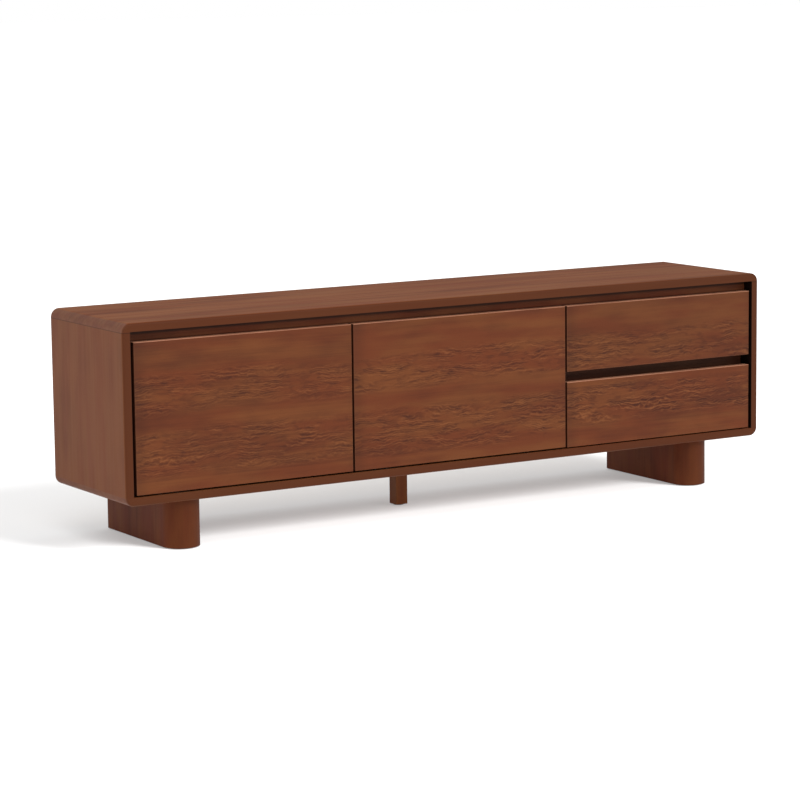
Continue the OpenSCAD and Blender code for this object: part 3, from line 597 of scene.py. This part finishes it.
def moulded_plastic(name):
    """Black plastic whose skin keeps the fine grain of its mould."""
    material, shader, start = new_material(name)
    place = start.node("ShaderNodeTexCoord", out="Object")
    skin = noise(stretched(place, (1700.0, 1700.0, 1700.0)), detail=2.0)
    flow = noise(stretched(place, (40.0, 40.0, 40.0)), detail=2.0)
    colour = blend(srgb(*PLASTIC_BLACK), toned(PLASTIC_BLACK, 1.5), step(flow, 0.35, 0.7) * 0.5)
    roughness = 0.46 + skin * 0.16
    bump = start.node("ShaderNodeBump", None,
                      {"Strength": 0.25, "Distance": 0.0002, "Height": skin})
    feed(shader, Base_Color=colour, Roughness=roughness, Normal=bump)
    return material


def pressed_felt(name):
    """Grey-brown felt: fine hairs over larger tufts, with a soft sheen."""
    material, shader, start = new_material(name)
    place = start.node("ShaderNodeTexCoord", out="Object")
    hairs = noise(stretched(place, (900.0, 900.0, 2400.0)), detail=4.0, distortion=1.2)
    tufts = noise(stretched(place, (220.0, 220.0, 400.0)), detail=3.0)
    colour = blend(srgb(*FELT_LIGHT), srgb(*FELT_DARK),
                   step(hairs * 0.7 + tufts * 0.3, 0.4, 0.62))
    bump = start.node("ShaderNodeBump", None,
                      {"Strength": 0.6, "Distance": 0.0006, "Height": hairs})
    feed(shader, Base_Color=colour, Roughness=0.95, Normal=bump)
    feed(shader, Sheen_Weight=0.4, Sheen_Roughness=0.5)
    return material


plastic = moulded_plastic("plastic")
felt = pressed_felt("felt")
print("materials:", len(bpy.data.materials))

# %% [markdown]
# ## Giving each CAD part its material
# A CAD part keeps its shape, and its finish goes in the material slots of its object. A short
# table says which finish belongs to which parts. Every part that is not in it is a hinge or a
# stay fitting, and gets plain plated steel.

# %% Assign the finishes
finishes = [
    (top_wood, ["top", "bottom"]),
    (side_wood, ["side_left", "side_right"]),
    (rail_wood, ["top_rail"]),
    (mid_rail_wood, ["mid_rail"]),
    (leg_wood, ["leg_left", "leg_right"]),
    (post_wood, ["centre_post"]),
    (carcase_wood, ["divider_left", "divider_right"]),
    (shelf_wood, ["shelf_left", "shelf_mid"]),
    (back_wood, ["back_panel"]),
    (drawer_side_wood, ["upper_sides", "lower_sides"]),
    (drawer_end_wood, ["upper_ends", "lower_ends"]),
    (drawer_bottom_wood, ["upper_bottom", "lower_bottom"]),
    (felt, ["floor_pads"]),
    (plastic, ["cable_rings", "catches"]),
    (slide_steel, ["slide_channels", "upper_slide_mid", "lower_slide_mid",
                   "upper_runners", "lower_runners"]),
    (screw_steel, ["back_screws", "cup_screws_left", "cup_screws_mid", "hinge_screws",
                   "slide_screws", "upper_screws", "lower_screws", "leg_bolts", "shelf_pins"]),
]
finishes += [(wood, [name]) for name, wood in front_wood.items()]


def give_finish(node_name, material):
    """Puts the material in every slot of a CAD part."""
    mesh = nodes[node_name].data
    for index in range(len(mesh.materials)):
        mesh.materials[index] = material
    if not mesh.materials:
        mesh.materials.append(material)


finished = set()
for material, names in finishes:
    for node_name in names:
        give_finish(node_name, material)
        finished.add(node_name)
for node_name in nodes:
    if node_name not in finished:
        give_finish(node_name, steel)
print("finished by name:", len(finished), "plain steel:", sorted(set(nodes) - finished))

# %% [markdown]
# ## Screws and bolts grown by Geometry Nodes
# The CAD part of a row of screws is plain: a disc on a rod. A real screw has a domed head with a
# recess for the driver, and a row of them never points the same way. It would be slow to model
# each one, so a node tree makes one screw and sets it on a cloud of points. The points come from
# the CAD part: each of its separate solids is one screw, whose box gives its seat and length.

# %% Find the separate solids of a CAD part
import bmesh

SAME_PLACE = 0.000001


def solids_of(node_name):
    """The low and high corner of every separate solid of a CAD part, in a fixed order."""
    shape = bmesh.new()
    shape.from_mesh(nodes[node_name].data)
    bmesh.ops.remove_doubles(shape, verts=shape.verts, dist=SAME_PLACE)
    waiting = set(shape.verts)
    boxes = []
    while waiting:
        group = [waiting.pop()]
        for vert in group:
            for edge in vert.link_edges:
                other = edge.other_vert(vert)
                if other in waiting:
                    waiting.discard(other)
                    group.append(other)
        places = [tuple(round(part, 6) for part in vert.co) for vert in group]
        boxes.append((Vector([min(p[i] for p in places) for i in range(3)]),
                      Vector([max(p[i] for p in places) for i in range(3)])))
    shape.free()
    return sorted(boxes, key=lambda box: (tuple(box[0]), tuple(box[1])))


print("screws in the hinge plates:", len(solids_of("hinge_screws")))

# %% [markdown]
# A point of the cloud carries two attributes. `aim` is the way the head looks, and `reach` is the
# length of the shank. The head sits on the point, and the shank goes the other way.

# %% The cloud of points for a row of screws
def seats_of(node_name, aim_of, head_height):
    """One point under each head, with its aim and its reach."""
    seats, aims, reaches = [], [], []
    for low, high in solids_of(node_name):
        middle = (low + high) / 2
        aim = Vector(aim_of(middle))
        half = Vector([abs(part) for part in aim]).dot(high - low) / 2
        seats.append(middle + aim * (half - head_height))
        aims.append(aim)
        reaches.append(2 * half - head_height)
    cloud = bpy.data.meshes.new(node_name + "_seats")
    cloud.from_pydata(seats, [], [])
    cloud.attributes.new("aim", "FLOAT_VECTOR", "POINT")
    cloud.attributes.new("reach", "FLOAT", "POINT")
    for index in range(len(seats)):
        cloud.attributes["aim"].data[index].vector = aims[index]
        cloud.attributes["reach"].data[index].value = reaches[index]
    return cloud


print("a point carries its aim and its reach")

# %% [markdown]
# Both trees begin and end alike. The inputs have names, so that a row of screws can be given its
# own sizes. At the end the copies are made real and get their material, because copies that are
# only instances would be lost when the piece is handed over.

# %% Open and close a node tree
def open_tree(name, numbers):
    """A Geometry Nodes tree with named inputs, and a wire for each of them."""
    tree = bpy.data.node_groups.new(name, "GeometryNodeTree")
    tree.interface.new_socket("Points", in_out="INPUT", socket_type="NodeSocketGeometry")
    for label, value in numbers.items():
        socket = tree.interface.new_socket(label, in_out="INPUT", socket_type="NodeSocketFloat")
        socket.default_value = value
    tree.interface.new_socket("Finish", in_out="INPUT", socket_type="NodeSocketMaterial")
    tree.interface.new_socket("Shape", in_out="OUTPUT", socket_type="NodeSocketGeometry")
    entry = tree.nodes.new("NodeGroupInput")
    return tree, {socket.name: Wire(tree, socket) for socket in entry.outputs if socket.name}


def close_tree(tree, shape, finish):
    """Makes the copies real, gives them their finish and ends the tree."""
    real = shape.node("GeometryNodeRealizeInstances", None, {"Geometry": shape})
    painted = real.node("GeometryNodeSetMaterial", None, {"Geometry": real, "Material": finish})
    exit_node = tree.nodes.new("NodeGroupOutput")
    tree.links.new(painted.socket, exit_node.inputs["Shape"])


print("a tree opens with Points and Finish, and closes with Shape")

# %% [markdown]
# Inside the tree the head is worked out in millimetres, which keeps the cuts clean, and each copy
# is made a thousand times smaller. The head starts as a cylinder with rings on its side and its
# end. Moving each point by a formula rounds the rim and raises the crown. A box or a hexagon,
# narrower towards its tip, is then cut out of it.

# %% Parts of a head
HEAD_SIDES = 28
SHANK_SIDES = 14
MILLIMETRE = 0.001


def place_parts(wire):
    """The three parts of each point's place, while the tree runs."""
    place = wire.node("GeometryNodeInputPosition")
    return [place.node("ShaderNodeSeparateXYZ", None, {0: place}, out=i) for i in range(3)]


def moved(shape, x, y, z):
    """The shape with every point moved to a place worked out from its old one."""
    place = shape.node("ShaderNodeCombineXYZ", None, {0: x, 1: y, 2: z})
    return shape.node("GeometryNodeSetPosition", None, {"Geometry": shape, "Position": place})


def domed_head(start, radius, height, rim, crown):
    """A head from z = 0 up to its height; rim narrows its top and crown rounds its end."""
    body = start.node("GeometryNodeMeshCylinder", {"fill_type": "TRIANGLE_FAN"},
                      {"Vertices": HEAD_SIDES, "Side Segments": 4, "Fill Segments": 3,
                       "Radius": radius, "Depth": height})
    x, y, z = place_parts(start)
    rise = z / height + 0.5
    spread = (x * x + y * y) / (radius * radius)
    narrow = start.maths("SQRT", 1.0 - rise * rise * rim)
    lift = rise * height * (1.0 - spread * crown)
    return moved(body, x * narrow, y * narrow, lift)


def cut_out(shape, tool):
    """The shape without the space that the tool takes."""
    sockets = {"Mesh 1": shape, "Mesh 2": tool}
    return shape.node("GeometryNodeMeshBoolean", {"operation": "DIFFERENCE"}, sockets)


def slot_tool(start, length, width, depth, top):
    """A box that is sunk into the head from its top, narrower at its tip."""
    size = start.node("ShaderNodeCombineXYZ", None, {0: length, 1: width, 2: depth * 2.0})
    box = start.node("GeometryNodeMeshCube", None, {"Size": size})
    x, y, z = place_parts(start)
    narrow = z / depth * 0.22 + 0.78
    return moved(box, x * narrow, y * narrow, z + top)


def hexagon_tool(start, radius, depth, top):
    """A six-sided socket that is sunk into the head from its top."""
    prism = start.node("GeometryNodeMeshCylinder", {"fill_type": "NGON"},
                       {"Vertices": 6, "Radius": radius, "Depth": depth * 2.0})
    x, y, z = place_parts(start)
    return moved(prism, x, y, z + top)


print("a head has", HEAD_SIDES, "sides and a shank has", SHANK_SIDES)

# %% [markdown]
# A head and a shank are then copied to every point and turned to its aim. A fixed seed turns each
# one by its own amount about its own line, as a fitter leaves them.

# %% Set the heads and shanks on their points
TURNING_SEED = 7


def set_on_points(inputs, head, shank_radius):
    """A head and a shank on every point, turned by chance about its own line."""
    points = inputs["Points"]
    aim = points.node("GeometryNodeInputNamedAttribute", {"data_type": "FLOAT_VECTOR"},
                      {"Name": "aim"})
    reach = points.node("GeometryNodeInputNamedAttribute", {"data_type": "FLOAT"},
                        {"Name": "reach"})
    chance = points.node("FunctionNodeRandomValue", {"data_type": "FLOAT"},
                         {"Min": 0.0, "Max": 2 * math.pi, "Seed": TURNING_SEED}, out=1)
    spin = points.node("ShaderNodeCombineXYZ", None, {0: 0.0, 1: 0.0, 2: chance})
    turn = spin.node("FunctionNodeEulerToRotation", None, {0: spin})
    turn = turn.node("FunctionNodeAlignRotationToVector", {"axis": "Z"},
                     {"Rotation": turn, "Vector": aim})
    rod = points.node("GeometryNodeMeshCylinder", {"fill_type": "NGON"},
                      {"Vertices": SHANK_SIDES, "Radius": shank_radius, "Depth": 1.0})
    x, y, z = place_parts(points)
    rod = moved(rod, x, y, z - 0.5)
    stretch = points.node("ShaderNodeCombineXYZ", None, {0: MILLIMETRE, 1: MILLIMETRE, 2: reach})
    heads = points.node("GeometryNodeInstanceOnPoints", None,
                        {"Points": points, "Instance": head, "Rotation": turn,
                         "Scale": (MILLIMETRE, MILLIMETRE, MILLIMETRE)})
    rods = points.node("GeometryNodeInstanceOnPoints", None,
                       {"Points": points, "Instance": rod, "Rotation": turn, "Scale": stretch})
    both = heads.node("GeometryNodeJoinGeometry", None, {0: rods})
    heads.tree.links.new(heads.socket, both.socket.node.inputs[0])
    return both


print("every row is turned with seed", TURNING_SEED)

# %% [markdown]
# Two trees are enough. The cross-headed screw has two narrow slots cut one after the other, and
# the second is a touch smaller, because two cuts that end in one plane leave torn faces. The leg
# bolt has a taller head with a six-sided socket.

# %% The two trees
def cross_screw_tree():
    """A domed screw with a cross recess; all its sizes are in millimetres."""
    tree, inputs = open_tree("cross_screw", {"Head radius": 4.0, "Head height": 1.5,
                                             "Shank radius": 1.75, "Recess depth": 1.05})
    start = inputs["Points"]
    top = inputs["Head height"]
    head = domed_head(start, inputs["Head radius"], top, 0.42, 0.18)
    length = inputs["Head radius"] * 1.12
    width = inputs["Head radius"] * 0.26
    depth = inputs["Recess depth"]
    head = cut_out(head, slot_tool(start, length, width, depth, top))
    head = cut_out(head, slot_tool(start, width * 0.98, length * 0.98, depth * 0.95, top + 0.01))
    close_tree(tree, set_on_points(inputs, head, inputs["Shank radius"]), inputs["Finish"])
    return tree


def hexagon_bolt_tree():
    """A bolt with a straight head and a hexagon socket; all its sizes are in millimetres."""
    tree, inputs = open_tree("hexagon_bolt", {"Head radius": 6.5, "Head height": 5.0,
                                              "Shank radius": 4.0, "Socket radius": 3.4,
                                              "Socket depth": 3.0})
    start = inputs["Points"]
    top = inputs["Head height"]
    head = domed_head(start, inputs["Head radius"], top, 0.16, 0.0)
    head = cut_out(head, hexagon_tool(start, inputs["Socket radius"], inputs["Socket depth"], top))
    close_tree(tree, set_on_points(inputs, head, inputs["Shank radius"]), inputs["Finish"])
    return tree


screw_tree = cross_screw_tree()
bolt_tree = hexagon_bolt_tree()
print("trees:", screw_tree.name, len(screw_tree.nodes), "and", bolt_tree.name, len(bolt_tree.nodes))

# %% [markdown]
# A tree is run on a cloud by a modifier. Its result is taken as a plain mesh, and the cloud and
# the modifier go away, so that nothing live is left on the finished piece. Edges sharper than
# 35 degrees stay sharp, and the rest is shaded smooth.

# %% Run a tree
SHARP_EDGE = math.radians(35.0)


def grow(name, tree, cloud, finish, numbers):
    """The plain mesh object that a tree makes on a cloud of points."""
    holder = bpy.data.objects.new(name + "_cloud", cloud)
    bpy.context.scene.collection.objects.link(holder)
    modifier = holder.modifiers.new("grow", "NODES")
    modifier.node_group = tree
    values = dict(numbers, Finish=finish)
    for item in tree.interface.items_tree:
        if item.item_type == "SOCKET" and item.in_out == "INPUT" and item.name in values:
            modifier[item.identifier] = values[item.name]
    graph = bpy.context.evaluated_depsgraph_get()
    mesh = bpy.data.meshes.new_from_object(holder.evaluated_get(graph), depsgraph=graph)
    bpy.data.objects.remove(holder)
    mesh.materials.clear()
    mesh.materials.append(finish)
    mesh.polygons.foreach_set("material_index", [0] * len(mesh.polygons))
    mesh.shade_smooth()
    mesh.set_sharp_from_angle(angle=SHARP_EDGE)
    piece = bpy.data.objects.new(name, mesh)
    bpy.context.scene.collection.objects.link(piece)
    return piece


print("edges stay sharp above", round(math.degrees(SHARP_EDGE)), "degrees")

# %% [markdown]
# Each row takes the place of its plain CAD part and rides on the same body, so a screw in a door
# swings with the door. The table says which way its heads look and how high they are, in
# millimetres. The screws of the back, the hinge cups and the drawer fronts all look to the back,
# and those of the hinge plates and the leg bolts look up.

# %% Every row of screws, and the bolts of the legs
to_back = (0.0, 1.0, 0.0)
upwards = (0.0, 0.0, 1.0)
bay_middle = (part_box("divider_right")[1].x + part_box("side_right")[0].x) / 2
recess_share = 0.7
bolt_head = 5.0


def into_bay(middle):
    """The slide screws look into the drawer bay, from its left or from its right wall."""
    return (1.0, 0.0, 0.0) if middle.x < bay_middle else (-1.0, 0.0, 0.0)


screw_rows = [
    ("back_screws", "case", lambda middle: to_back, 1.5),
    ("hinge_screws", "case", lambda middle: upwards, 1.5),
    ("slide_screws", "case", into_bay, 1.2),
    ("cup_screws_left", "door_left", lambda middle: to_back, 1.5),
    ("cup_screws_mid", "door_mid", lambda middle: to_back, 1.5),
    ("upper_screws", "upper_drawer", lambda middle: to_back, 1.5),
    ("lower_screws", "lower_drawer", lambda middle: to_back, 1.5),
]
for node_name, body, aim_of, head_height in screw_rows:
    cloud = seats_of(node_name, aim_of, head_height / 1000)
    numbers = {"Head height": head_height, "Recess depth": head_height * recess_share}
    piece = grow(node_name + "_fine", screw_tree, cloud, screw_steel, numbers)
    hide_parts(node_name)
    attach(piece, body)
    print(piece.name, "faces:", len(piece.data.polygons))

bolt_seats = seats_of("leg_bolts", lambda middle: upwards, bolt_head / 1000)
bolts = grow("leg_bolts_fine", bolt_tree, bolt_seats, screw_steel, {"Head height": bolt_head})
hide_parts("leg_bolts")
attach(bolts, "case")
print(bolts.name, "faces:", len(bolts.data.polygons))

# %% [markdown]
# ## Floor and light
# The floor is a large pale sheet, a hair below the felt pads. It glows a little, as a studio
# floor does between white walls, so that it fades to white away from the stand.

# %% The floor
floor_size = 60.0
floor_drop = 0.0004
floor_glow = 0.30


def make_floor(size, drop):
    """A square sheet below the stand, which is not part of it."""
    data = bpy.data.meshes.new("floor")
    corners = [(-size, -size, -drop), (size, -size, -drop),
               (size, size, -drop), (-size, size, -drop)]
    data.from_pydata(corners, [], [(0, 1, 2, 3)])
    floor = bpy.data.objects.new("floor", data)
    bpy.context.scene.collection.objects.link(floor)
    material, shader, start = new_material("pale_floor")
    place = start.node("ShaderNodeTexCoord", out="Object")
    grain = noise(stretched(place, (3.0, 3.0, 3.0)), detail=2.0)
    shade = blend((0.50, 0.50, 0.50, 1.0), (0.48, 0.48, 0.48, 1.0), grain)
    feed(shader, Base_Color=shade, Roughness=0.9, Specular_IOR_Level=0.0)
    feed(shader, Emission_Color=(1.0, 1.0, 1.0, 1.0), Emission_Strength=floor_glow)
    data.materials.append(material)
    return floor


floor = make_floor(floor_size, floor_drop)
print("floor:", floor.name, 2 * floor_size, "m wide")

# %% [markdown]
# Broad light comes from all round, but glossy surfaces see a darker room, which keeps the satin
# lacquer calm. A big soft lamp high in front of the left end lights the top and that end. Two
# suns shine through one wide window on the right: a weak one lights the stand, and a strong one
# lights only the floor, so that the floor is white and the stand still casts its shadow.

# %% The light
sky_for_light = 1.05
sky_for_gloss = 0.35
sky_for_camera = 1.0


def make_world():
    """White light from all round, with its own strength for light, gloss and the camera."""
    world = bpy.data.worlds.new("studio")
    world.use_nodes = True
    tree = world.node_tree
    start = Wire(tree)
    background = tree.nodes["Background"]
    seen = start.node("ShaderNodeLightPath", out="Is Camera Ray")
    shine = start.node("ShaderNodeLightPath", out="Is Glossy Ray")
    strength = (sky_for_light + seen * (sky_for_camera - sky_for_light)
                + shine * (sky_for_gloss - sky_for_light))
    background.inputs["Color"].default_value = (1.0, 1.0, 1.0, 1.0)
    tree.links.new(strength.socket, background.inputs["Strength"])
    bpy.context.scene.world = world
    return world


def make_lamp(name, kind, place, target, size, strength):
    """A round area lamp, or a sun whose size is the angle it covers, aimed at a target."""
    data = bpy.data.lights.new(name, kind)
    if kind == "SUN":
        data.angle = size
    else:
        data.shape = "DISK"
        data.size = size
    data.energy = strength
    lamp = bpy.data.objects.new(name, data)
    aim = (Vector(target) - Vector(place)).to_track_quat("-Z", "Y")
    lamp.matrix_world = Matrix.Translation(place) @ aim.to_matrix().to_4x4()
    bpy.context.scene.collection.objects.link(lamp)
    return lamp


def light_only(lamp, *lit):
    """The lamp lights only these objects, while everything still casts its shadow."""
    chosen = bpy.data.collections.new(lamp.name + "_lights")
    for item in lit:
        chosen.objects.link(item)
    lamp.light_linking.receiver_collection = chosen


make_world()
case_middle = (0.0, 0.0, 0.3)
floor_middle = (0.0, 0.0, 0.0)
window = (2.6, -5.0, 3.2)
window_size = math.radians(21.0)
make_lamp("key_lamp", "AREA", (-2.6, -2.2, 4.8), case_middle, 3.5, 110.0)
make_lamp("window_lamp", "SUN", window, floor_middle, window_size, 1.2)
floor_lamp = make_lamp("floor_lamp", "SUN", window, floor_middle, window_size, 5.6)
light_only(floor_lamp, floor)
bpy.context.scene.view_settings.view_transform = "Standard"
